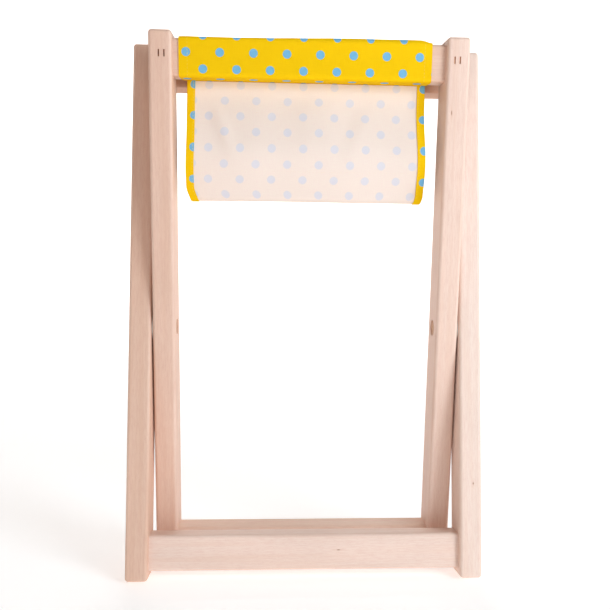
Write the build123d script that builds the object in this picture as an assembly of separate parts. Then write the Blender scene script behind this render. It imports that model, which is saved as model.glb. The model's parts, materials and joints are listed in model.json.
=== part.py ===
from build123d import *
import math
import os

# Folding X-frame stool with a short cloth sling, standing almost closed.
# Each frame is drawn upright about the pivot axis (X across, Y from the outer side
# towards the back, Z up the stile), then leaned and lifted to the pivot height.

# driving dimensions, mm
STOCK_THIN = 22.0          # thickness of every stile and rail
STOCK_WIDE = 35.0          # width of every stile and rail
EDGE_ROUND = 3.2           # round-over on the stiles
RAIL_ROUND = 3.0           # round-over on the rails' long edges
INNER_WIDTH = 305.0        # over the inner frame's stiles
WASHER_GAP = 1.5           # between an inner and an outer stile
STILE_ABOVE = 284.0        # pivot axis to the stile's top end
STILE_BELOW = 249.0        # pivot axis to the stile's foot
LEAN = 5.5                 # each frame's lean from upright, degrees, as it stands
TOP_RAIL_DROP = 6.0        # stile's top end down to the top rail
OUTER_FOOT_RISE = 8.0      # outer stile's foot up to its bottom rail
INNER_FOOT_RISE = 2.5      # inner stile's foot up to its bottom rail

TENON_THICK = 10.0
TENON_HIGH = 24.0
TENON_LONG = 15.0
MORTISE_PLAY = 0.05        # clearance on every side of a tenon

PIN_RADIUS = 8.0
PIN_PLAY = 0.05            # radial clearance where the inner stile turns on the pin
PIN_SINK = 0.8             # pin's end below the stile's face
WASHER_RADIUS = 14.0
WASHER_PLAY = 0.1          # side clearance of a washer against the turning stile

STAPLE_CROWN = 6.6         # staple's width, set upright
STAPLE_WIRE = 1.2
STAPLE_LEG = 16.0
STAPLE_DEPTH = 0.9         # the crown's depth below the face
STAPLE_DROP = 21.6         # stile's top end down to the crown's middle
STAPLE_INSET = (9.8, 14.9) # stile's outer side in to each staple

CLOTH = 1.0                # cloth solid's thickness
CLOTH_PLAY = 0.3
POCKET_LEFT, POCKET_RIGHT = -124.8, 116.8
SLING_LEFT, SLING_RIGHT = -119.0, 116.2
HANG_IN = 12.0             # stile's centre line in to the cloth's hanging line
HANG_UP = 240.6            # pivot axis up the stile to the hanging line
BELLY_OUT = 19.0           # upper panel's lower end out from the middle plane
BELLY_DROP = 59.0          # hanging line down to that end
FOLD_DROP = 113.0          # hanging line down to the bottom fold
FOLD_GAP = 16.0            # length left off each lower panel at the bottom fold

OUTER_WIDTH = INNER_WIDTH + 2 * (STOCK_THIN + WASHER_GAP)
TOP_RAIL_MID = STILE_ABOVE - TOP_RAIL_DROP - STOCK_WIDE / 2
HALF_WIDE = STOCK_WIDE / 2
HALF_THIN = STOCK_THIN / 2
LEAN_RAD = math.radians(LEAN)
# height at which the rounded, leaning feet just touch the floor
PIVOT_HEIGHT = (
    (HALF_WIDE - EDGE_ROUND) * math.sin(LEAN_RAD)
    + (STILE_BELOW - EDGE_ROUND) * math.cos(LEAN_RAD)
    + EDGE_ROUND
)
INNER = Location((0, 0, PIVOT_HEIGHT), (LEAN, 0, 0))
OUTER = Location((0, 0, PIVOT_HEIGHT), (-LEAN, 0, 0))
LIFT = Location((0, 0, PIVOT_HEIGHT))


def block(x_span, y_span, z_span):
    """Box between two values on each axis."""
    size = [high - low for low, high in (x_span, y_span, z_span)]
    middle = [(high + low) / 2 for low, high in (x_span, y_span, z_span)]
    return Pos(*middle) * Box(*size)


def cross_rod(radius, x_low, x_high):
    """Cylinder on the pivot axis."""
    return Pos((x_low + x_high) / 2, 0, 0) * Rot(0, 90, 0) * Cylinder(radius, x_high - x_low)


def spans(side, low, high):
    """A span measured outwards from the middle, put on the left (-1) or right (+1)."""
    return tuple(sorted((side * low, side * high)))


def tenon_block(side, inner_face, rail_mid, play):
    """Tenon, or its mortise when play is added, going outwards from inner_face."""
    half_y = TENON_THICK / 2 + play
    half_z = TENON_HIGH / 2 + play
    return block(
        spans(side, inner_face, inner_face + TENON_LONG + play),
        (-half_y, half_y),
        (rail_mid - half_z, rail_mid + half_z),
    )


def staple_spots(side, frame_width):
    """Sideways places of one corner's two staples."""
    return [side * (frame_width / 2 - inset) for inset in STAPLE_INSET]


def staple_slot(x, facing):
    """Narrow upright slot that a staple's crown leaves in the face."""
    depth = STAPLE_DEPTH + STAPLE_WIRE
    top = STILE_ABOVE - STAPLE_DROP
    face_y = facing * HALF_WIDE
    half_x, half_z = STAPLE_WIRE / 2 + 0.1, STAPLE_CROWN / 2 + 0.1
    y_span = tuple(sorted((face_y + facing, face_y - facing * depth)))
    return block((x - half_x, x + half_x), y_span, (top - half_z, top + half_z))


def staple(x, facing):
    """Wire staple: upright crown and two legs driven straight in."""
    top = STILE_ABOVE - STAPLE_DROP
    outer_y = facing * (HALF_WIDE - STAPLE_DEPTH)
    half = STAPLE_WIRE / 2
    crown_y = tuple(sorted((outer_y, outer_y - facing * STAPLE_WIRE)))
    leg_y = tuple(sorted((outer_y, outer_y - facing * STAPLE_LEG)))
    low, high = top - STAPLE_CROWN / 2, top + STAPLE_CROWN / 2
    body = block((x - half, x + half), crown_y, (low, high))
    body += block((x - half, x + half), leg_y, (low, low + STAPLE_WIRE))
    body += block((x - half, x + half), leg_y, (high - STAPLE_WIRE, high))
    return body


def stile(side, frame_width, bottom_mid, pin_radius, facing):
    """Upright with rounded edges, pin hole, two mortises and two staple slots."""
    outer_face = frame_width / 2
    inner_face = outer_face - STOCK_THIN
    body = block(
        spans(side, inner_face, outer_face),
        (-HALF_WIDE, HALF_WIDE),
        (-STILE_BELOW, STILE_ABOVE),
    )
    body = fillet(body.edges(), EDGE_ROUND)
    body -= cross_rod(pin_radius, *spans(side, inner_face - 1, outer_face + 1))
    for rail_mid in (bottom_mid, TOP_RAIL_MID):
        body -= tenon_block(side, inner_face, rail_mid, MORTISE_PLAY)
    for x in staple_spots(side, frame_width):
        body -= staple_slot(x, facing)
        body -= staple(x, facing)
    return body


def rail(frame_width, rail_mid):
    """Cross rail with rounded long edges and a tenon at each end."""
    inner_face = frame_width / 2 - STOCK_THIN
    body = block(
        (-inner_face, inner_face),
        (-HALF_THIN, HALF_THIN),
        (rail_mid - HALF_WIDE, rail_mid + HALF_WIDE),
    )
    body = fillet(body.edges().filter_by(Axis.X), RAIL_ROUND)
    for side in (-1, 1):
        body += tenon_block(side, inner_face, rail_mid, 0)
    return body


def top_rail(frame_width, facing):
    """Top rail, pierced by the staple legs that hold its tenons."""
    body = rail(frame_width, TOP_RAIL_MID)
    for side in (-1, 1):
        for x in staple_spots(side, frame_width):
            body -= staple(x, facing)
    return body


def staples(frame_width, facing):
    """All four staples of one frame."""
    return Part() + [staple(x, facing) for side in (-1, 1) for x in staple_spots(side, frame_width)]


def pivot_pin(side):
    """Dowel through both stiles, a little short of both outside faces."""
    return cross_rod(
        PIN_RADIUS,
        *spans(side, INNER_WIDTH / 2 - STOCK_THIN + PIN_SINK, OUTER_WIDTH / 2 - PIN_SINK),
    )


def washer(side):
    """Thin ring that keeps the stiles apart; it bears on the outer stile."""
    span = spans(side, INNER_WIDTH / 2 + WASHER_PLAY, INNER_WIDTH / 2 + WASHER_GAP)
    return cross_rod(WASHER_RADIUS, *span) - cross_rod(PIN_RADIUS, *span)


def pocket():
    """Cloth sleeve round a top rail."""
    def sleeve(grow):
        body = block(
            (POCKET_LEFT, POCKET_RIGHT),
            (-HALF_THIN - grow, HALF_THIN + grow),
            (TOP_RAIL_MID - HALF_WIDE - grow, TOP_RAIL_MID + HALF_WIDE + grow),
        )
        return fillet(body.edges().filter_by(Axis.X), RAIL_ROUND + grow)

    return sleeve(CLOTH_PLAY + CLOTH) - sleeve(CLOTH_PLAY)


def hanging_line():
    """Y and Z of the line where the cloth leaves the front pocket, as it stands."""
    y = HANG_IN * math.cos(LEAN_RAD) - HANG_UP * math.sin(LEAN_RAD)
    z = PIVOT_HEIGHT + HANG_IN * math.sin(LEAN_RAD) + HANG_UP * math.cos(LEAN_RAD)
    return y, z


def cloth_panel(start, end):
    """Flat strip of cloth between two points of the side view, over the sling's width."""
    along = Vector(0, end[0] - start[0], end[1] - start[1])
    plane = Plane(
        origin=((SLING_LEFT + SLING_RIGHT) / 2, (start[0] + end[0]) / 2, (start[1] + end[1]) / 2),
        x_dir=(1, 0, 0),
        z_dir=along,
    )
    return plane * Box(SLING_RIGHT - SLING_LEFT, CLOTH, along.length)


def sling_panels():
    """Upper and lower panel of the front half, and their mirror images behind."""
    hang_y, hang_z = hanging_line()
    belly = (-BELLY_OUT, hang_z - BELLY_DROP)
    fold = Vector(0, -belly[0], -FOLD_DROP + BELLY_DROP)
    short = (fold.length - FOLD_GAP) / fold.length
    lower_end = (belly[0] + fold.Y * short, belly[1] + fold.Z * short)
    upper_run = Vector(0, belly[0] - hang_y, -BELLY_DROP).normalized()
    lower_run = fold.normalized()
    gap = 0.6              # keeps each panel clear of its neighbour round the hinge line
    upper = cloth_panel(
        (hang_y + upper_run.Y * gap, hang_z + upper_run.Z * gap),
        (belly[0] - upper_run.Y * gap, belly[1] - upper_run.Z * gap),
    )
    lower = cloth_panel(
        (belly[0] + lower_run.Y * gap, belly[1] + lower_run.Z * gap), lower_end
    )
    return {
        "sling_front_upper_panel": upper,
        "sling_front_lower_panel": lower,
        "sling_rear_upper_panel": mirror(upper, about=Plane.XZ),
        "sling_rear_lower_panel": mirror(lower, about=Plane.XZ),
    }


def frame_parts(name, place, frame_width, foot_rise, pin_radius, facing):
    """Two stiles, two rails and the staples of one frame."""
    bottom_mid = -STILE_BELOW + foot_rise + HALF_WIDE
    parts = {
        f"{name}_top_rail": top_rail(frame_width, facing),
        f"{name}_bottom_rail": rail(frame_width, bottom_mid),
        f"{name}_staples": staples(frame_width, facing),
    }
    for side, word in ((-1, "left"), (1, "right")):
        parts[f"{name}_{word}_stile"] = stile(side, frame_width, bottom_mid, pin_radius, facing)
    return {node: place * shape for node, shape in parts.items()}


def build():
    parts = frame_parts("inner", INNER, INNER_WIDTH, INNER_FOOT_RISE, PIN_RADIUS + PIN_PLAY, -1)
    parts |= frame_parts("outer", OUTER, OUTER_WIDTH, OUTER_FOOT_RISE, PIN_RADIUS, 1)
    for side, word in ((-1, "left"), (1, "right")):
        parts[f"{word}_pivot_pin"] = LIFT * pivot_pin(side)
        parts[f"{word}_spacer_washer"] = LIFT * washer(side)
    parts["sling_front_pocket"] = INNER * pocket()
    parts["sling_rear_pocket"] = OUTER * pocket()
    parts |= sling_panels()
    return parts


os.makedirs("parts", exist_ok=True)
for node, shape in build().items():
    export_step(shape, f"parts/{node}.step")
print("pivot height", round(PIVOT_HEIGHT, 3), "hanging line", [round(v, 3) for v in hanging_line()])
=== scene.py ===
import bpy
import bmesh
import json
import math
from mathutils import Matrix, Vector, noise


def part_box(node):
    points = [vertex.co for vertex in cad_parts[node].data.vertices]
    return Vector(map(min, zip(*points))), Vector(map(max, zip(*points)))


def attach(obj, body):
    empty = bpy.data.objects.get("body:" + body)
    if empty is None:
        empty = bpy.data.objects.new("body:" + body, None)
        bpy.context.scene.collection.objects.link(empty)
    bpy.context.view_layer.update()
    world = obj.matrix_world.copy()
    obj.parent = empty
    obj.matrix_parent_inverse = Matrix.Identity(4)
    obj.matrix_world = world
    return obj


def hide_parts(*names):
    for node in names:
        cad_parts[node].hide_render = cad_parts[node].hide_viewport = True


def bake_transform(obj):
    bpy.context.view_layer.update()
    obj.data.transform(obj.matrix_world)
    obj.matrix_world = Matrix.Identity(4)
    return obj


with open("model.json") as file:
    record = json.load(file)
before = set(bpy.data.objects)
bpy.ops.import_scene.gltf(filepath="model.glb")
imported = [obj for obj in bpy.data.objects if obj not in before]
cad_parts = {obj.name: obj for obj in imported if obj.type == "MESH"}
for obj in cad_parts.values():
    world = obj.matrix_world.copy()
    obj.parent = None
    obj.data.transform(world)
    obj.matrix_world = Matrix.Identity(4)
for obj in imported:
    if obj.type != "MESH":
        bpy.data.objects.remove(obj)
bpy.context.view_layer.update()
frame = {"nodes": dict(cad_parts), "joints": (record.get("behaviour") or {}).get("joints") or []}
print("stage: frame loaded")

mm = 0.001
joints = {joint["name"]: joint for joint in frame["joints"]}
pivot = Vector(joints["fold"]["pos_m"])
hangLine = Vector(joints["front_cloth_swing"]["pos_m"])    # where the cloth leaves the front pocket
bellyLine = Vector(joints["front_cloth_bend"]["pos_m"])    # where the hanging cloth bends
lean = math.radians(5.5)                                   # each frame's lean from upright


# camera
view = {
    "place": (-0.0367, -0.7037, 0.3068),
    "pitch": -2.84,      # degrees, as are yaw and roll
    "yaw": -2.893,
    "roll": -0.577,
    "lens": 40.75,
    "sensor": 36.0,
}


def addCamera():
    camera = bpy.data.objects.new("camera", bpy.data.cameras.new("camera"))
    bpy.context.scene.collection.objects.link(camera)
    camera.data.sensor_width = view["sensor"]
    camera.data.lens = view["lens"]
    camera.data.clip_start = 0.01
    camera.data.clip_end = 50.0
    turn = Matrix.Rotation(math.radians(view["yaw"]), 4, "Z")
    turn @= Matrix.Rotation(math.radians(view["pitch"]), 4, "X")
    turn @= Matrix.Rotation(math.radians(view["roll"]), 4, "Y")
    turn @= Matrix.Rotation(math.radians(90.0), 4, "X")
    camera.matrix_world = Matrix.Translation(view["place"]) @ turn
    bpy.context.scene.camera = camera


addCamera()
print("stage: camera placed")


# shader maths: a wrapped socket with operators, and one method that makes any other node
class Term:
    def __init__(self, shader, socket):
        self.shader = shader
        self.socket = socket

    def out(self, name):
        return Term(self.shader, self.socket.node.outputs[name])

    def math(self, operation, *others):
        inputs = dict(enumerate([self, *others]))
        return self.shader.node("ShaderNodeMath", {"operation": operation}, inputs)

    def __add__(self, other):
        return self.math("ADD", other)

    __radd__ = __add__

    def __mul__(self, other):
        return self.math("MULTIPLY", other)

    __rmul__ = __mul__

    def __sub__(self, other):
        return self.math("SUBTRACT", other)

    def __rsub__(self, other):
        return self.math("MULTIPLY", -1.0).math("ADD", other)


class Shader:
    def __init__(self, name):
        self.material = bpy.data.materials.new(name)
        self.material.use_nodes = True
        self.tree = self.material.node_tree
        self.surface = self.tree.nodes["Principled BSDF"]

    def node(self, kind, settings=None, inputs=None, output=0):
        made = self.tree.nodes.new(kind)
        for name, value in (settings or {}).items():
            setattr(made, name, value)
        for key, value in (inputs or {}).items():
            self.feed(made.inputs[key], value)
        return Term(self, made.outputs[output])

    def feed(self, socket, value):
        if isinstance(value, Term):
            self.tree.links.new(value.socket, socket)
        elif socket.type == "RGBA":
            socket.default_value = (*value, 1.0)
        else:
            socket.default_value = value

    def blend(self, factor, first, second):
        settings = {"data_type": "RGBA", "blend_type": "MIX"}
        return self.node("ShaderNodeMix", settings, {0: factor, 6: first, 7: second}, output=2)

    def tint(self, factor, first, second):
        settings = {"data_type": "RGBA", "blend_type": "MULTIPLY"}
        return self.node("ShaderNodeMix", settings, {0: factor, 6: first, 7: second}, output=2)

    def step(self, value, low, high):
        settings = {"interpolation_type": "SMOOTHSTEP"}
        return self.node("ShaderNodeMapRange", settings, {0: value, 1: low, 2: high, 3: 0.0, 4: 1.0})

    def vectorMath(self, operation, first, second=(0.0, 0.0, 0.0), output=0):
        return self.node("ShaderNodeVectorMath", {"operation": operation}, {0: first, 1: second}, output)

    def vector(self, x, y, z):
        return self.node("ShaderNodeCombineXYZ", None, {0: x, 1: y, 2: z})

    def noise(self, place, detail=2.0, roughness=0.5):
        inputs = {"Vector": place, "Scale": 1.0, "Detail": detail, "Roughness": roughness}
        return self.node("ShaderNodeTexNoise", {"noise_dimensions": "3D"}, inputs)

    def finish(self, **inputs):
        for name, value in inputs.items():
            self.feed(self.surface.inputs[name.replace("_", " ")], value)
        return self.material


# beech, one material for each board so that its grain runs along it
beech = {
    "light": (0.860, 0.645, 0.535),
    "warm": (0.790, 0.515, 0.375),
    "ring": (0.690, 0.430, 0.300),
    "silk": (0.780, 0.520, 0.420),
    "fleck": (0.480, 0.240, 0.160),
    "end": (0.640, 0.420, 0.300),
    "wornEdge": (0.900, 0.740, 0.640),
    "knot": (0.360, 0.150, 0.075),
    "streakShare": 0.38,      # how strongly each feature shows
    "ringShare": 0.10,
    "silkShare": 0.56,
    "fleckShare": 0.24,
    "endShare": 0.34,
    "edgeShare": 0.30,
    "knotShare": 0.75,
    "knotTailShare": 0.30,
    "ringPitch": 2.6,         # mm between growth rings
    "halfThin": 11.0,         # half of the boards' thickness and width
    "halfWide": 17.5,
    "edgeRound": 3.4,
}
# seed, tone against the other boards (partly painted light: darker, warmer tones paint shade onto boards
# that sit in shade, paler ones paint more light onto others), where the heart of the tree lies across the
# board in mm, and knots as across, through, along, half width, half length in mm
boards = {
    "inner_left_stile": {"seed": 1.3, "toneAndPaintedLight": (0.94, 0.86, 0.82), "heart": (46, -58), "knots": []},
    "inner_right_stile": {
        "seed": 4.1, "toneAndPaintedLight": (0.99, 0.98, 0.99), "heart": (-38, -71), "knots": [(-5, -17, 196, 0.8, 3.0)]},
    "outer_left_stile": {"seed": 7.7, "toneAndPaintedLight": (0.93, 0.84, 0.78), "heart": (-64, 30), "knots": []},
    "outer_right_stile": {
        "seed": 9.2, "toneAndPaintedLight": (1.04, 1.10, 1.15), "heart": (25, 88), "knots": [(2.5, -17, -173, 1.0, 1.5)]},
    "inner_top_rail": {"seed": 2.6, "toneAndPaintedLight": (0.94, 0.87, 0.82), "heart": (-52, 40), "knots": []},
    "outer_top_rail": {"seed": 5.5, "toneAndPaintedLight": (0.88, 0.73, 0.63), "heart": (60, 33), "knots": []},
    "inner_bottom_rail": {"seed": 8.4, "toneAndPaintedLight": (1.10, 1.09, 1.07), "heart": (-35, -48), "knots": []},
    "outer_bottom_rail": {
        "seed": 3.9, "toneAndPaintedLight": (1.03, 1.06, 1.10), "heart": (70, 22), "knots": [(2, -11, 33, 0.7, 2.2)]},
}


def beechMaterial(name, board):
    shader = Shader("beech_" + name)
    low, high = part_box(name)
    side = 1 if name.startswith("inner") else -1
    place = shader.node("ShaderNodeTexCoord")
    settings = {"vector_type": "TEXTURE"}
    inputs = {
        "Vector": place.out("Object"),
        "Location": tuple((low + high) / 2),
        "Rotation": (side * lean, 0.0, 0.0),
        "Scale": (mm, mm, mm),
    }
    local = shader.node("ShaderNodeMapping", settings, inputs)
    parts = shader.node("ShaderNodeSeparateXYZ", None, {0: local})
    facing = shader.node("ShaderNodeSeparateXYZ", None, {0: place.out("Normal")})
    if name.endswith("rail"):
        along, through, across = parts.out("X"), parts.out("Y"), parts.out("Z")
        halfAcross, halfThrough = beech["halfWide"], beech["halfThin"]
        endFace = facing.out("X").math("ABSOLUTE")
    else:
        across, through, along = parts.out("X"), parts.out("Y"), parts.out("Z")
        halfAcross, halfThrough = beech["halfThin"], beech["halfWide"]
        endFace = facing.out("Z").math("ABSOLUTE")
    seed = board["seed"] * 10
    # the noises' scales are per mm, and small along the board so that the grain runs that way
    wobble = shader.noise(shader.vector(across * 0.02 + seed, through * 0.02, along * 0.006), 1.0)
    heartX, heartY = board["heart"]
    ringX, ringY = across - heartX, through - heartY
    radius = (ringX * ringX + ringY * ringY).math("SQRT") + wobble * 7.0 + along * 0.006
    cycle = (radius * (1 / beech["ringPitch"])).math("FRACT")
    ring = shader.step(cycle, 0.35, 0.95) * (1 - shader.step(cycle, 0.95, 1.0))
    fibre = shader.noise(shader.vector(across * 1.1, through * 1.1 + seed, along * 0.10), 3.0, 0.65)
    streak = shader.noise(shader.vector(across * 0.22, through * 0.22, along * 0.006 + seed), 2.0)
    cloud = shader.noise(shader.vector(across * 0.05 + seed, through * 0.05, along * 0.012), 1.0)
    cells = shader.vector(across * 1.5 + seed, through * 1.5, along * 0.32)
    spindle = shader.node("ShaderNodeTexVoronoi", {"feature": "F1"}, {"Vector": cells, "Scale": 1.0})
    chance = shader.noise(cells, 0.0)
    fleck = (1 - shader.step(spindle.out("Distance"), 0.10, 0.27)) * shader.step(chance, 0.36, 0.56)
    streaky = shader.step(streak, 0.34, 0.72) * beech["streakShare"]
    colour = shader.blend(streaky, beech["light"], beech["warm"])
    colour = shader.blend(ring * beech["ringShare"], colour, beech["ring"])
    colour = shader.blend(shader.step(fibre, 0.40, 0.66) * beech["silkShare"], colour, beech["silk"])
    colour = shader.blend(fleck * beech["fleckShare"], colour, beech["fleck"])
    shade = 0.93 + cloud * 0.14
    # painted light: the board's tone darkens and warms boards that sit in shade and pales others as if more
    # lit
    colour = shader.tint(1.0, colour, shader.vector(*[shade * part for part in board["toneAndPaintedLight"]]))
    endMask = shader.step(endFace, 0.55, 0.9)
    colour = shader.blend(endMask * beech["endShare"], colour, beech["end"])
    cornerA = shader.step(across.math("ABSOLUTE"), halfAcross - beech["edgeRound"], halfAcross)
    cornerB = shader.step(through.math("ABSOLUTE"), halfThrough - beech["edgeRound"], halfThrough)
    corner = cornerA * cornerB * shader.step(cloud, 0.35, 0.65)
    colour = shader.blend(corner * beech["edgeShare"], colour, beech["wornEdge"])
    for spotX, spotY, spotZ, halfWidth, halfLength in board["knots"]:
        offX, offY = (across - spotX) * (1 / halfWidth), (through - spotY) * 0.25
        offZ = (along - spotZ) * (1 / halfLength)
        far = (offX * offX + offY * offY + offZ * offZ).math("SQRT")
        tailX, tailZ = offX * 0.7, offZ * 0.25
        tail = (tailX * tailX + offY * offY + tailZ * tailZ).math("SQRT")
        halo = (1 - shader.step(tail, 0.2, 1.2)) * beech["knotTailShare"]
        core = (1 - shader.step(far, 0.3, 1.1)) * beech["knotShare"]
        colour = shader.blend(halo, colour, beech["ring"])
        colour = shader.blend(core, colour, beech["knot"])
    height = fibre * 0.7 - fleck * 0.5 + ring * 0.2
    bump = shader.node("ShaderNodeBump", None, {"Strength": 0.25, "Distance": 0.15 * mm, "Height": height})
    rough = 0.46 + fibre * 0.16 + endMask * 0.12
    return shader.finish(Base_Color=colour, Roughness=rough, Normal=bump, IOR=1.48)


for nodeName, boardFacts in boards.items():
    frame["nodes"][nodeName].material_slots[0].material = beechMaterial(nodeName, boardFacts)
print("stage: beech boards finished")


# the dowels' end grain, the staples, coloured with painted slot shade, and the washers
dowel = {
    "light": (0.660, 0.380, 0.240),
    "dark": (0.380, 0.170, 0.085),
    "radius": 8.0,
    "rim": 1.0,               # mm of darker wood round the end
    "heart": (13.0, -17.0),   # mm from the pin's middle to the middle of its growth rings
    "ringsPerMm": 0.55,
}


def dowelMaterial(name, seed):
    shader = Shader("dowel_" + name)
    low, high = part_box(name)
    place = shader.node("ShaderNodeTexCoord")
    settings = {"vector_type": "TEXTURE"}
    inputs = {"Vector": place.out("Object"), "Location": tuple((low + high) / 2), "Scale": (mm, mm, mm)}
    local = shader.node("ShaderNodeMapping", settings, inputs)
    parts = shader.node("ShaderNodeSeparateXYZ", None, {0: local})
    along, sideways, up = parts.out("X"), parts.out("Y"), parts.out("Z")
    wobble = shader.noise(shader.vector(along * 0.02, sideways * 0.15 + seed, up * 0.15), 1.0)
    heartY, heartZ = dowel["heart"]
    ringY, ringZ = sideways - heartY, up - heartZ
    radius = (ringY * ringY + ringZ * ringZ).math("SQRT") + wobble * 2.0
    ring = shader.step((radius * dowel["ringsPerMm"]).math("FRACT"), 0.3, 1.0)
    pores = shader.noise(shader.vector(along * 0.04, sideways * 3.2, up * 3.2 + seed), 2.0)
    colour = shader.blend(ring * 0.5, dowel["light"], dowel["dark"])
    colour = shader.blend(shader.step(pores, 0.5, 0.72) * 0.6, colour, dowel["dark"])
    fromMiddle = (sideways * sideways + up * up).math("SQRT")
    rim = shader.step(fromMiddle, dowel["radius"] - dowel["rim"], dowel["radius"])
    colour = shader.blend(rim * 0.6, colour, dowel["dark"])
    bump = shader.node("ShaderNodeBump", None, {"Strength": 0.4, "Distance": 0.2 * mm, "Height": pores})
    return shader.finish(Base_Color=colour, Roughness=0.6 + pores * 0.15, Normal=bump)


# painted shade: the staples are coloured as the dark slots they sit in, reddish brown, lighter on the lit
# right side
stapleShade = {
    "left": ((0.34, 0.14, 0.07), (0.17, 0.06, 0.03)),      # painted slot shade, plain and smeared
    "right": ((0.62, 0.30, 0.16), (0.45, 0.19, 0.09)),
    "smearScale": (900, 900, 260),                         # per metre
}


def stapleShadeMaterial():
    shader = Shader("staple_steel_painted_shade")
    place = shader.node("ShaderNodeTexCoord")
    smear = shader.noise(shader.vectorMath("MULTIPLY", place.out("Object"), stapleShade["smearScale"]), 3.0)
    litSideX = shader.node("ShaderNodeSeparateXYZ", None, {0: place.out("Object")})
    smeared = shader.step(smear, 0.4, 0.7)
    left = shader.blend(smeared, *stapleShade["left"])
    right = shader.blend(smeared, *stapleShade["right"])
    # painted light: staples right of the middle get the lighter colours, as lit by the key light; those on
    # the left get the darker ones, as in shade
    colour = shader.blend(shader.step(litSideX, -0.05, 0.05), left, right)
    return shader.finish(Base_Color=colour, Metallic=0.35, Roughness=0.42 + smear * 0.25)


washer = {
    "dull": (0.70, 0.68, 0.62),
    "clean": (0.80, 0.78, 0.73),
    "mottleScale": (350.0, 350.0, 350.0),                  # per metre
}


def washerMaterial():
    shader = Shader("nylon_washer")
    place = shader.node("ShaderNodeTexCoord")
    mottle = shader.noise(shader.vectorMath("MULTIPLY", place.out("Object"), washer["mottleScale"]), 2.0)
    colour = shader.blend(mottle, washer["dull"], washer["clean"])
    bump = shader.node("ShaderNodeBump", None, {"Strength": 0.1, "Distance": 0.1 * mm, "Height": mottle})
    return shader.finish(Base_Color=colour, Roughness=0.45 + mottle * 0.1, Normal=bump)


paintedSlotShade, nylon = stapleShadeMaterial(), washerMaterial()
for nodeName in ("left_pivot_pin", "right_pivot_pin"):
    frame["nodes"][nodeName].material_slots[0].material = dowelMaterial(nodeName, len(nodeName))
for nodeName in ("inner_staples", "outer_staples"):
    frame["nodes"][nodeName].material_slots[0].material = paintedSlotShade
for nodeName in ("left_spacer_washer", "right_spacer_washer"):
    frame["nodes"][nodeName].material_slots[0].material = nylon
print("stage: pins, staples and washers finished")


# printed cotton; the map counts in repeats of the spot pattern, a spot and one between four
cotton = {
    "repeat": (31.8, 30.6),      # mm across and along the cloth
    "spotRadius": 4.1,
    "yellow": (0.930, 0.570, 0.004),
    "yellowDeep": (0.910, 0.540, 0.003),
    "blue": (0.185, 0.465, 0.700),
    "pale": (0.900, 0.760, 0.665),
    "palePink": (0.890, 0.730, 0.650),
    "ghost": (0.700, 0.680, 0.750),
    "ghostShare": 0.8,           # how strongly the spots show through
    "printSoft": 0.08,           # mm over which a spot's edge fades on each side
    "ghostSoft": 0.35,
    "threadPitch": 0.55,
    "sewing": (0.900, 0.580, 0.030),
    "sewingPale": (0.930, 0.650, 0.090),
    "sewingScale": (2600.0, 2600.0, 2600.0),
}


def weave(shader):
    cloth = shader.node("ShaderNodeUVMap", {"uv_map": "clothMap"})
    sized = shader.vectorMath("MULTIPLY", cloth, (*cotton["repeat"], 0.0))
    parts = shader.node("ShaderNodeSeparateXYZ", None, {0: sized})
    across, along = parts.out("X"), parts.out("Y")
    turns = math.pi / cotton["threadPitch"]
    threads = (across * turns).math("SINE") * (along * turns).math("SINE")
    slubWeft = shader.noise(shader.vector(across * 0.09, along * 2.4, 0.0), 2.0)
    slubWarp = shader.noise(shader.vector(across * 2.4, along * 0.09, 7.0), 2.0)
    return cloth, threads, slubWeft + slubWarp


def spots(shader, cloth, soft):
    near = []
    for shift in ((0.5, 0.0, 0.0), (0.0, 0.5, 0.0)):
        cell = shader.vectorMath("FRACTION", shader.vectorMath("ADD", cloth, shift))
        centred = shader.vectorMath("SUBTRACT", cell, (0.5, 0.5, 0.0))
        sized = shader.vectorMath("MULTIPLY", centred, (*cotton["repeat"], 0.0))
        near.append(shader.vectorMath("LENGTH", sized, output=1))
    distance = near[0].math("MINIMUM", near[1])
    edge = cotton["spotRadius"]
    return 1 - shader.step(distance, edge - soft, edge + soft)


def printedSide():
    shader = Shader("cotton_print")
    cloth, threads, slub = weave(shader)
    ground = shader.blend(shader.step(slub, 0.85, 1.2), cotton["yellow"], cotton["yellowDeep"])
    colour = shader.blend(spots(shader, cloth, cotton["printSoft"]), ground, cotton["blue"])
    shade = 0.985 + threads * 0.03
    colour = shader.tint(1.0, colour, shader.vector(shade, shade, shade))
    height = threads + slub * 0.8
    bump = shader.node("ShaderNodeBump", None, {"Strength": 0.25, "Distance": 0.1 * mm, "Height": height})
    rough = 0.8 + slub * 0.06
    return shader.finish(Base_Color=colour, Roughness=rough, Normal=bump, Specular_IOR_Level=0.06)


def wrongSide():
    shader = Shader("cotton_wrong_side")
    cloth, threads, slub = weave(shader)
    ground = shader.blend(shader.step(slub, 0.8, 1.2), cotton["pale"], cotton["palePink"])
    through = spots(shader, cloth, cotton["ghostSoft"]) * cotton["ghostShare"]
    colour = shader.blend(through, ground, cotton["ghost"])
    shade = 0.98 + threads * 0.03
    colour = shader.tint(1.0, colour, shader.vector(shade, shade, shade))
    height = threads + slub * 0.8
    bump = shader.node("ShaderNodeBump", None, {"Strength": 0.25, "Distance": 0.1 * mm, "Height": height})
    rough = 0.84 + slub * 0.05
    return shader.finish(Base_Color=colour, Roughness=rough, Normal=bump, Specular_IOR_Level=0.25)


def threadMaterial():
    shader = Shader("sewing_thread")
    place = shader.node("ShaderNodeTexCoord")
    twist = shader.noise(shader.vectorMath("MULTIPLY", place.out("Object"), cotton["sewingScale"]), 1.0)
    colour = shader.blend(twist, cotton["sewing"], cotton["sewingPale"])
    return shader.finish(Base_Color=colour, Roughness=0.6 + twist * 0.1, Sheen_Weight=0.2)


printSide, backSide, thread = printedSide(), wrongSide(), threadMaterial()
print("stage: cloth materials finished")


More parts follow.
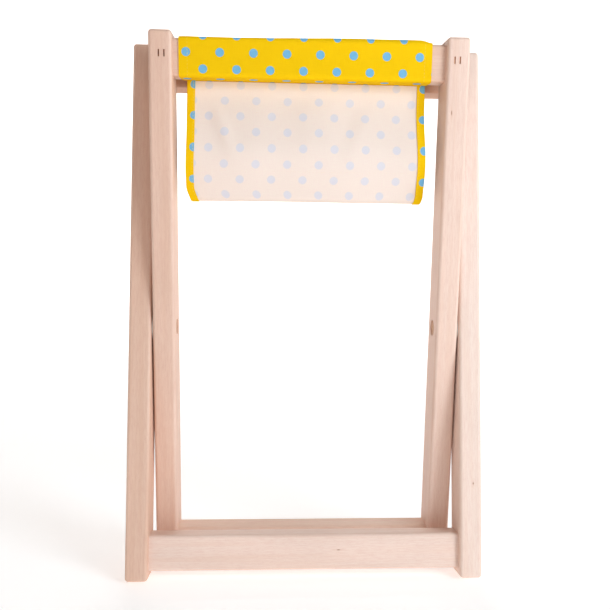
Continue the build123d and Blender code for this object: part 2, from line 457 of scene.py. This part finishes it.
# the sling: one strip of cloth, followed in side view from the seam under the front rail,
# round that rail, down to the bottom fold and up round the rear rail; lengths are in mm
sling = {
    "thick": 0.7,
    "width": 234.9,            # along the cloth from the left fold to the right one
    "upperEnd": 30.0,          # down from the seam to where the pieces meet
    "lowerStart": 87.0,
    "upperBlend": (0.5, 25.0),   # lengths along the cloth, turned into path points but not used; nothing passes a piece from one body to the next
    "middleBlend": (42.0, 78.0),
    "play": 1.0,               # printed surface out from the rail
    "underPlay": 0.9,
    "corner": 4.0,
    "topCorner": 2.0,
    "backStraight": 12.0,      # down from the rail's middle to where the pocket's back turns in
    "backCorner": 4.5,
    "backCornerUp": 3.6,
    "seamIn": 2.2,             # the seam, in from the rail's back face and down from its underside
    "seamDown": 0.4,
    "pocketDrift": 2.2,        # how far the spots slip along the cloth behind the rail
    "foldDrop": 113.0,         # hanging line down to the bottom fold
    "foldRound": 4.0,
    "foldSlope": 16.5,         # degrees from upright at which the cloth runs into the fold
    "hangHandle": 18.0,        # lengths of the curve's handles, from the seam downwards
    "bellyHandles": (20.0, 19.0),
    "foldHandle": 19.0,
    "curveSteps": 60,
    "hem": 7.1,
    "hemRound": 0.75,
    "hemRows": 1.6,
    "tongue": 3.6,             # the front's lap inside the rear at the bottom fold
    "tongueEase": 1.6,         # the lap moves inwards over this length
    "smoothBelow": 50,         # degrees; edges sharper than this stay crisp
    "rowStep": 1.8,
    "columnStep": 2.4,
    "firstRow": 3.5,           # hanging line down to the first row of spots
    "spotColumn": 9.3,         # across place of a column of spots on the pocket
    "gatherAt": 25.0,          # the hanging part is a little narrower than the pocket, about here
    "gather": 1.031,
    "leftHemShift": 1.1,       # the spots on the left hem lie this much further out
    "leftTrim": 0.2,           # the folds stand in from the panel's ends by this much
    "rightTrim": 1.2,
    "spotTrim": 1.6,
    "leftFlare": 1.7,          # how far the side folds wander out and in on the way down
    "leftTuck": 5.1,
    "rightBulge": 0.6,
    "rightFlare": 1.9,
    "rightTuck": 2.6,
    "pocketEnd": 0.65,         # the pocket is a little shorter where its end is sewn down
}


def ease(value, low, high):
    share = min(1.0, max(0.0, (value - low) / (high - low)))
    return share * share * (3 - 2 * share)


def hill(value, low, high):
    middle = (low + high) / 2
    return ease(value, low, middle) * (1 - ease(value, middle, high))


def railHeight():
    low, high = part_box("inner_top_rail")
    centre = (low + high) / 2 - pivot
    return (centre.z * math.cos(lean) - centre.y * math.sin(lean)) / mm


def leaned(y, z):
    return (y * math.cos(lean) - z * math.sin(lean), pivot.z / mm + y * math.sin(lean) + z * math.cos(lean))


def arcRun(centreY, centreZ, radius, start, end):
    count = max(3, int(abs(end - start) / 6))
    angles = [math.radians(start + (end - start) * step / count) for step in range(count + 1)]
    return [(centreY + radius * math.cos(a), centreZ + radius * math.sin(a)) for a in angles]


def curveRun(ends):
    made = []
    for step in range(sling["curveSteps"] + 1):
        t = step / sling["curveSteps"]
        weights = ((1 - t) ** 3, 3 * t * (1 - t) ** 2, 3 * t * t * (1 - t), t ** 3)
        made.append(tuple(sum(w * p[axis] for w, p in zip(weights, ends)) for axis in (0, 1)))
    return made


def pocketRun():
    out = beech["halfThin"] + sling["play"]
    middle, corner = railHeight(), sling["corner"]
    top = middle + beech["halfWide"] + sling["play"]
    under = middle - beech["halfWide"] - sling["underPlay"]
    inY = out - corner
    run = [(seamPlace()[0] - 0.3, under + 0.3)]
    run += arcRun(-inY, under + corner, corner, 270, 180)
    sharp = sling["topCorner"]
    run += arcRun(sharp - out, top - sharp, sharp, 180, 90)
    run += arcRun(out - sharp, top - sharp, sharp, 90, 0)
    back = sling["backCorner"]
    run += [(out, middle - sling["backStraight"])]
    run += arcRun(out - back, under + sling["backCornerUp"], back, 0, -50)
    return [leaned(y, z) for y, z in run]


def seamPlace():
    # the printed side where the end under the rail is sewn to the hanging part
    under = railHeight() - beech["halfWide"] - sling["underPlay"]
    return beech["halfThin"] - sling["seamIn"], under - sling["seamDown"]


def hangingRun():
    hangY, hangZ = leaned(*seamPlace())
    belly = (bellyLine.y / mm - 0.4, bellyLine.z / mm)
    foldZ = hangLine.z / mm - sling["foldDrop"]
    bend = sling["foldRound"]
    slope = math.radians(sling["foldSlope"])
    arcStart = (-bend * math.cos(slope), foldZ + bend - bend * math.sin(slope))
    reach = sling["foldHandle"]
    handle = (arcStart[0] - reach * math.sin(slope), arcStart[1] + reach * math.cos(slope))
    above, below = sling["bellyHandles"]
    hangHandle = (hangY - 0.4, hangZ - sling["hangHandle"])
    run = curveRun([(hangY, hangZ), hangHandle, (belly[0], belly[1] + above), belly])
    run += curveRun([belly, (belly[0], belly[1] - below), handle, arcStart])[1:]
    run += arcRun(0, foldZ + bend, bend, 180 + math.degrees(slope), 270)[1:]
    return run


def wholeRun():
    front = pocketRun()
    hangAt = len(front)
    front += hangingRun()
    rear = [(-y, z) for y, z in reversed(front[:-1])]
    points = front + rear
    lengths = [0.0]
    for here, there in zip(points, points[1:]):
        lengths.append(lengths[-1] + math.dist(here, there))
    zero = lengths[hangAt]
    return points, [length - zero for length in lengths], lengths[len(front) - 1] - zero


runPoints, runLengths, foldAt = wholeRun()
runStart, runEnd = runLengths[0], runLengths[-1]
pocketLength = -runStart
print("stage: sling run", round(pocketLength, 1), "mm round a rail,", round(foldAt, 1), "mm to the fold")


def runAt(length):
    length = min(max(length, runStart), runEnd)
    low, high = 0, len(runLengths) - 1
    while high - low > 1:
        middle = (low + high) // 2
        if runLengths[middle] <= length:
            low = middle
        else:
            high = middle
    share = (length - runLengths[low]) / (runLengths[high] - runLengths[low])
    return [a + (b - a) * share for a, b in zip(runPoints[low], runPoints[high])]


def runFrame(length):
    reach = 0.7
    here = runAt(length)
    ahead, behind = runAt(length + reach), runAt(length - reach)
    along = Vector((0.0, ahead[0] - behind[0], ahead[1] - behind[1])).normalized()
    return Vector((0.0, *here)), along, Vector((1.0, 0.0, 0.0)).cross(along)


pocketLow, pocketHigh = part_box("sling_front_pocket")
panelLow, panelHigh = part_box("sling_front_upper_panel")


def sideEdges(length):
    near = min(length, 2 * foldAt - length)
    left = panelLow.x / mm + sling["hemRound"] - sling["leftTrim"]
    right = panelHigh.x / mm - sling["hemRound"] - sling["rightTrim"]
    if near < 0:
        full = 1 - ease(near, -26, 0)
        if near < -98:
            full = sling["pocketEnd"] + (1 - sling["pocketEnd"]) * ease(near, -118, -98)
        left += (pocketLow.x / mm - left) * full
        right += (pocketHigh.x / mm - right) * full
        return left, right
    left -= sling["leftFlare"] * ease(near, 45, 95)
    left += sling["leftTuck"] * ease(near, foldAt - 16, foldAt + 4)
    right -= sling["rightBulge"] * hill(near, 5, 60)
    right += sling["rightFlare"] * ease(near, 45, 90)
    right -= sling["rightTuck"] * ease(near, foldAt - 9, foldAt + 3)
    return left, right


# how far the cloth stands off its path, in mm
softness = {
    "pocketPuff": (0.6, 2.2),     # at the pocket's left, and added towards its right
    "seamRoll": 0.7,
    "pocketWave": 0.35,
    "leftPull": 0.35,             # slanting pulls at the pocket's two ends
    "rightPull": 0.25,
    "broadWave": 2.1,             # these four are on the hanging part
    "fineWave": 0.6,
    "leftRidge": 1.96,
    "rightRidge": 0.98,
}


def crest(value, width):
    return math.exp(-(value / width) ** 2)


def hollow(across, length):
    near = min(length, 2 * foldAt - length)
    wave = noise.noise(Vector((across / 34, length / 30, 4.7)))
    if near < 0:
        least, more = softness["pocketPuff"]
        puff = least + more * ease(across, -70, 50)
        puff *= (1 - ease(across, 106, 117)) * (0.4 + 0.6 * ease(across, -125, -118))
        raised = puff * hill(near, -80, -26) + softness["seamRoll"] * hill(near, -36, -8)
        pull = softness["leftPull"] * crest((across + 106) + (near + 78) * 0.9, 5)
        pull += softness["rightPull"] * crest((across - 98) - (near + 78) * 0.8, 6)
        return raised + softness["pocketWave"] * abs(wave) + pull * hill(near, -94, -58)
    calm = ease(near, 4, 30) * (1 - 0.85 * ease(near, 80, foldAt))
    broad = noise.noise(Vector((across / 52, length / 85, 1.9)))
    ridge = softness["leftRidge"] * crest((across + 91) - (near - 27) * 0.36, 7) * hill(near, 10, 82)
    ridge += softness["rightRidge"] * crest((across - 52) + (near - 40) * 0.30, 9) * hill(near, 14, 92)
    return calm * (softness["broadWave"] * broad + softness["fineWave"] * wave - ridge)


clothWidth = sling["width"]


def clothPoint(length, across, laps=False):
    # across counts from the left fold to the right fold; less or more than that is on a hem
    left, right = sideEdges(length)
    inside = ease(length, foldAt, foldAt + sling["tongueEase"]) if laps else 0.0
    over = -across if across < 0 else max(0.0, across - clothWidth)
    share = min(1.0, max(0.0, across / clothWidth))
    x = left + (right - left) * share
    outward = -1 if across < 0 else 1
    radius = sling["hemRound"]
    if over < math.pi * radius:
        x += outward * radius * math.sin(over / radius)
        depth = radius * (1 - math.cos(over / radius))
    else:
        x -= outward * (over - math.pi * radius)
        depth = 2 * radius
    here, along, up = runFrame(length)
    lift = hollow(min(max(x, left), right), length) - depth + inside
    return (here + Vector((x, 0.0, 0.0)) + up * lift) * mm


def clothFrame(length, across):
    reach = 0.4
    sideways = clothPoint(length, across + reach) - clothPoint(length, across - reach)
    along = (clothPoint(length + reach, across) - clothPoint(length - reach, across)).normalized()
    up = sideways.cross(along).normalized()
    return clothPoint(length, across), along, up


def spotPlace(length, across):
    left, right = panelLow.x / mm, panelHigh.x / mm - sling["spotTrim"]
    near = min(length, 2 * foldAt - length)
    if near < 0:
        left, right = sideEdges(min(length, runEnd))
        x = left + (right - left) * across / clothWidth
        gather = 1 + (sling["gather"] - 1) * ease(near, -26, 0)
        x = sling["gatherAt"] + (x - sling["gatherAt"]) * gather
    else:
        x = left + (right - left) * across / clothWidth
        x = sling["gatherAt"] + (x - sling["gatherAt"]) * sling["gather"]
        x -= sling["leftHemShift"] * ease(-across, 1.2, 2.6)
    u = (x - sling["spotColumn"]) / cotton["repeat"][0]
    drift = sling["pocketDrift"] * ease(-near, 6, 34)
    length += drift if length < foldAt else -drift
    return u, (length - sling["firstRow"]) / cotton["repeat"][1]


def evenSteps(start, end, step):
    count = max(2, math.ceil((end - start) / step))
    return [start + (end - start) * index / count for index in range(count + 1)]


def columnPlaces(hemmed):
    places = evenSteps(0.0, clothWidth, sling["columnStep"])
    if not hemmed:
        return places
    bend = math.pi * sling["hemRound"]
    folds = [bend * step / 8 for step in range(1, 9)]
    folds += evenSteps(bend, bend + sling["hem"], sling["hemRows"])[1:]
    return [-place for place in reversed(folds)] + places + [clothWidth + place for place in folds]


def selectOnly(piece):
    bpy.ops.object.select_all(action="DESELECT")
    piece.select_set(True)
    bpy.context.view_layer.objects.active = piece


def clothPiece(name, start, end, hemmed):
    columns = columnPlaces(hemmed)
    rows = evenSteps(start, end, sling["rowStep"])
    bpy.ops.object.select_all(action="DESELECT")
    lastColumn, lastRow = len(columns) - 1, len(rows) - 1
    bpy.ops.mesh.primitive_grid_add(x_subdivisions=lastColumn, y_subdivisions=lastRow, size=1.0)
    piece = bpy.context.object
    piece.name = name
    mesh = piece.data
    laps = start < foldAt < end
    spotMap = {}
    for vertex in mesh.vertices:
        column = round((vertex.co.x + 0.5) * lastColumn)
        row = round((vertex.co.y + 0.5) * lastRow)
        spotMap[vertex.index] = spotPlace(rows[row], columns[column])
        vertex.co = clothPoint(rows[row], columns[column], laps)
    layer = mesh.uv_layers[0]
    layer.name = "clothMap"
    for loop in mesh.loops:
        layer.data[loop.index].uv = spotMap[loop.vertex_index]
    mesh.materials.append(printSide)
    mesh.materials.append(backSide)
    wall = piece.modifiers.new("wall", "SOLIDIFY")
    wall.thickness = sling["thick"] * mm
    wall.offset = -1.0
    wall.material_offset = 1
    wall.use_even_offset = False
    selectOnly(piece)
    bpy.ops.object.modifier_apply(modifier="wall")
    bpy.ops.object.shade_smooth_by_angle(angle=math.radians(sling["smoothBelow"]))
    return piece


# stitches, each a small flattened bead, laid in rows on the cloth; lengths are in mm
stitch = {
    "pitch": 3.3,
    "long": 1.25,
    "wide": 0.19,
    "high": 0.11,
    "lift": 0.05,                 # a bead's middle above the cloth
    "pocketInset": (7.9, 6.9),
    "pocketStart": 4.0,
    "pocketStop": 4.5,
    "seamUp": 2.2,                # the row that closes the pocket, above where the cloth hangs free
    "seamEnds": 3.0,
    "hemInset": 1.5,
    "foldGap": 6.0,               # the rows stop short of the bottom fold
}


def stitchShape():
    bpy.ops.object.select_all(action="DESELECT")
    bpy.ops.mesh.primitive_uv_sphere_add(segments=8, ring_count=5, radius=mm)
    bead = bpy.context.object
    bead.data.transform(Matrix.Diagonal((stitch["wide"], stitch["long"], stitch["high"], 1.0)))
    shape = bead.data.copy()
    bpy.data.objects.remove(bead)
    return shape


bead = stitchShape()


def stitchPiece(name, spotsAndTurns):
    rows = bmesh.new()
    for length, across, sideways in spotsAndTurns:
        point, along, up = clothFrame(length, across)
        if sideways:
            along = up.cross(along)
        right = along.cross(up)
        place = Matrix((right, along, up)).transposed().to_4x4()
        place.translation = point + up * stitch["lift"] * mm
        copy = bead.copy()
        copy.transform(place)
        rows.from_mesh(copy)
        bpy.data.meshes.remove(copy)
    mesh = bpy.data.meshes.new(name)
    rows.to_mesh(mesh)
    rows.free()
    mesh.materials.append(thread)
    piece = bpy.data.objects.new(name, mesh)
    bpy.context.scene.collection.objects.link(piece)
    selectOnly(piece)
    bpy.ops.object.shade_smooth()
    return piece


def hemStitches(name, start, end):
    bend = math.pi * sling["hemRound"]
    onHem = bend + sling["hem"] - stitch["hemInset"]
    onSheet = sling["hem"] - stitch["hemInset"]
    wanted = []
    for length in evenSteps(start, end, stitch["pitch"])[:-1]:
        middle = length + stitch["pitch"] / 2
        for across in (-onHem, clothWidth + onHem, onSheet, clothWidth - onSheet):
            wanted.append((middle, across, False))
    return stitchPiece(name, wanted)


def pocketStitches(name, start, end, seamAt):
    left, right = stitch["pocketInset"]
    wanted = []
    for length in evenSteps(start, end, stitch["pitch"]):
        for across in (left, clothWidth - right):
            wanted.append((length, across, False))
    for across in evenSteps(stitch["seamEnds"], clothWidth - stitch["seamEnds"], stitch["pitch"]):
        wanted.append((seamAt, across, True))
    return stitchPiece(name, wanted)


upperEnd, lowerStart = sling["upperEnd"], sling["lowerStart"]
hangingFlatWidth = (clothWidth + 2 * (sling["hem"] + math.pi * sling["hemRound"])) * mm
pocketFlatWidth = pocketHigh.x - pocketLow.x


def mirrored(length, side):
    return length if side == "front" else 2 * foldAt - length


def between(start, end, side):
    return sorted((mirrored(start, side), mirrored(end, side)))


def pathPoint(length, side):
    return tuple(runFrame(mirrored(length, side))[0] * mm)


def blendPieces(pieces, lengths, side):
    start, end = [pathPoint(length, side) for length in lengths]
    for piece in pieces:
        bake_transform(piece)


halves = (("front", "inner_frame", "inner_top_rail"), ("rear", "outer_frame", "outer_top_rail"))
for side, frameName, rail in halves:
    upperBody, lowerBody = f"sling_{side}_upper", f"sling_{side}_lower"

    low, high = between(-pocketLength, 0.0, side)
    pocket = clothPiece(f"{side}_sling_pocket", low, high, False)
    low, high = between(stitch["pocketStart"] - pocketLength, -stitch["pocketStop"], side)
    seam = pocketStitches(f"{side}_pocket_stitches", low, high, mirrored(-stitch["seamUp"], side))
    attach(pocket, frameName)
    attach(seam, frameName)
    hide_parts(f"sling_{side}_pocket")
    flat = (pocketFlatWidth, pocketLength * mm)

    low, high = between(0.0, upperEnd, side)
    upper = clothPiece(f"{side}_sling_upper", low, high, True)
    seam = hemStitches(f"{side}_upper_stitches", low, high)
    blendPieces((upper, seam), sling["upperBlend"], side)
    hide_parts(f"sling_{side}_upper_panel")
    flat = (hangingFlatWidth, upperEnd * mm)

    low, high = between(upperEnd, lowerStart, side)
    middle = clothPiece(f"{side}_sling_middle", low, high, True)
    seam = hemStitches(f"{side}_middle_stitches", low, high)
    blendPieces((middle, seam), sling["middleBlend"], side)
    flat = (hangingFlatWidth, (lowerStart - upperEnd) * mm)

    lap = sling["tongue"] if side == "front" else 0.0
    low, high = between(lowerStart, foldAt + lap, side)
    bottom = clothPiece(f"{side}_sling_bottom", low, high, True)
    low, high = between(lowerStart, foldAt - stitch["foldGap"], side)
    seam = hemStitches(f"{side}_bottom_stitches", low, high)
    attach(bottom, lowerBody)
    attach(seam, lowerBody)
    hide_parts(f"sling_{side}_lower_panel")
    flat = (hangingFlatWidth, (foldAt + lap - lowerStart) * mm)
    print("stage:", side, "half of the sling finished")


# a pale round floor that sweeps up into a wall, and gives off a little light near the ground
stage = {
    "reach": 4.0,
    "wall": 2.6,
    "sides": 96,
    "sweep": 1.2,
    "sweepSteps": 14,
    "floorColour": (0.90, 0.895, 0.89),
    "floorPale": (0.93, 0.925, 0.92),
    "floorGlow": 0.45,
    "glowTop": 1.4,            # height in metres at which most of the glow is gone
    "world": (1.0, 0.80, 0.70),
    "worldStrength": 0.08,
}


def addStage():
    bpy.ops.object.select_all(action="DESELECT")
    bpy.ops.mesh.primitive_circle_add(vertices=stage["sides"], radius=stage["reach"], fill_type="NGON")
    floor = bpy.context.object
    floor.name = "floor"
    bpy.ops.object.mode_set(mode="EDIT")
    bpy.ops.mesh.select_all(action="SELECT")
    bpy.ops.mesh.region_to_loop()
    bpy.ops.mesh.extrude_edges_move(TRANSFORM_OT_translate={"value": (0.0, 0.0, stage["wall"])})
    shape = bmesh.from_edit_mesh(floor.data)
    for edge in shape.edges:
        edge.select_set(all(vertex.co.z < 0.01 for vertex in edge.verts))
    bmesh.update_edit_mesh(floor.data)
    bpy.ops.mesh.bevel(offset=stage["sweep"], segments=stage["sweepSteps"])
    bpy.ops.object.mode_set(mode="OBJECT")
    bpy.ops.object.shade_smooth()
    shader = Shader("pale_floor")
    place = shader.node("ShaderNodeTexCoord")
    faint = shader.noise(place.out("Object"), 2.0)
    colour = shader.blend(faint * 0.2, stage["floorColour"], stage["floorPale"])
    height = shader.node("ShaderNodeSeparateXYZ", None, {0: place.out("Object")}).out("Z")
    lit = 1 - shader.step(height, 0.0, stage["glowTop"]) * 0.9
    glow = {"Emission_Color": shader.vector(lit, lit, lit), "Emission_Strength": stage["floorGlow"]}
    floor.data.materials.append(shader.finish(Base_Color=colour, Roughness=0.9, **glow))


# a soft key light near the right side, a weak warm fill, one light above and one on the wall
lights = {
    "key": {
        "place": (1.05, -1.05, 0.62), "target": (0.0, 0.0, 0.26),
        "size": 0.8, "power": 14.8, "colour": (0.80, 0.92, 1.0)},
    "fill": {
        "place": (-1.5, -1.6, 1.1), "target": (0.0, 0.0, 0.25),
        "size": 1.4, "power": 1.0, "colour": (1.0, 0.62, 0.45)},
    "sky": {
        "place": (0.0, 0.3, 2.4), "target": (0.0, 0.2, 0.0),
        "size": 1.8, "power": 8.0, "colour": (1.0, 0.99, 0.98)},
    "backdrop": {
        "place": (0.0, 2.4, 2.6), "target": (0.0, 4.0, 0.7),
        "size": 1.8, "power": 80.0, "colour": (1.0, 0.95, 0.91)},
}


def addLight(name, facts):
    light = bpy.data.lights.new(name, "AREA")
    light.shape = "DISK"
    light.size = facts["size"]
    light.energy = facts["power"]
    light.color = facts["colour"]
    lamp = bpy.data.objects.new(name, light)
    bpy.context.scene.collection.objects.link(lamp)
    lamp.location = facts["place"]
    aim = Vector(facts["target"]) - Vector(facts["place"])
    lamp.rotation_euler = aim.to_track_quat("-Z", "Y").to_euler()


addStage()
for lightName, lightFacts in lights.items():
    addLight(lightName, lightFacts)
world = bpy.data.worlds.new("studio")
bpy.context.scene.world = world
world.use_nodes = True
world.node_tree.nodes["Background"].inputs["Color"].default_value = (*stage["world"], 1.0)
world.node_tree.nodes["Background"].inputs["Strength"].default_value = stage["worldStrength"]
bpy.context.scene.view_settings.view_transform = "Standard"
print("stage: floor and lights placed")
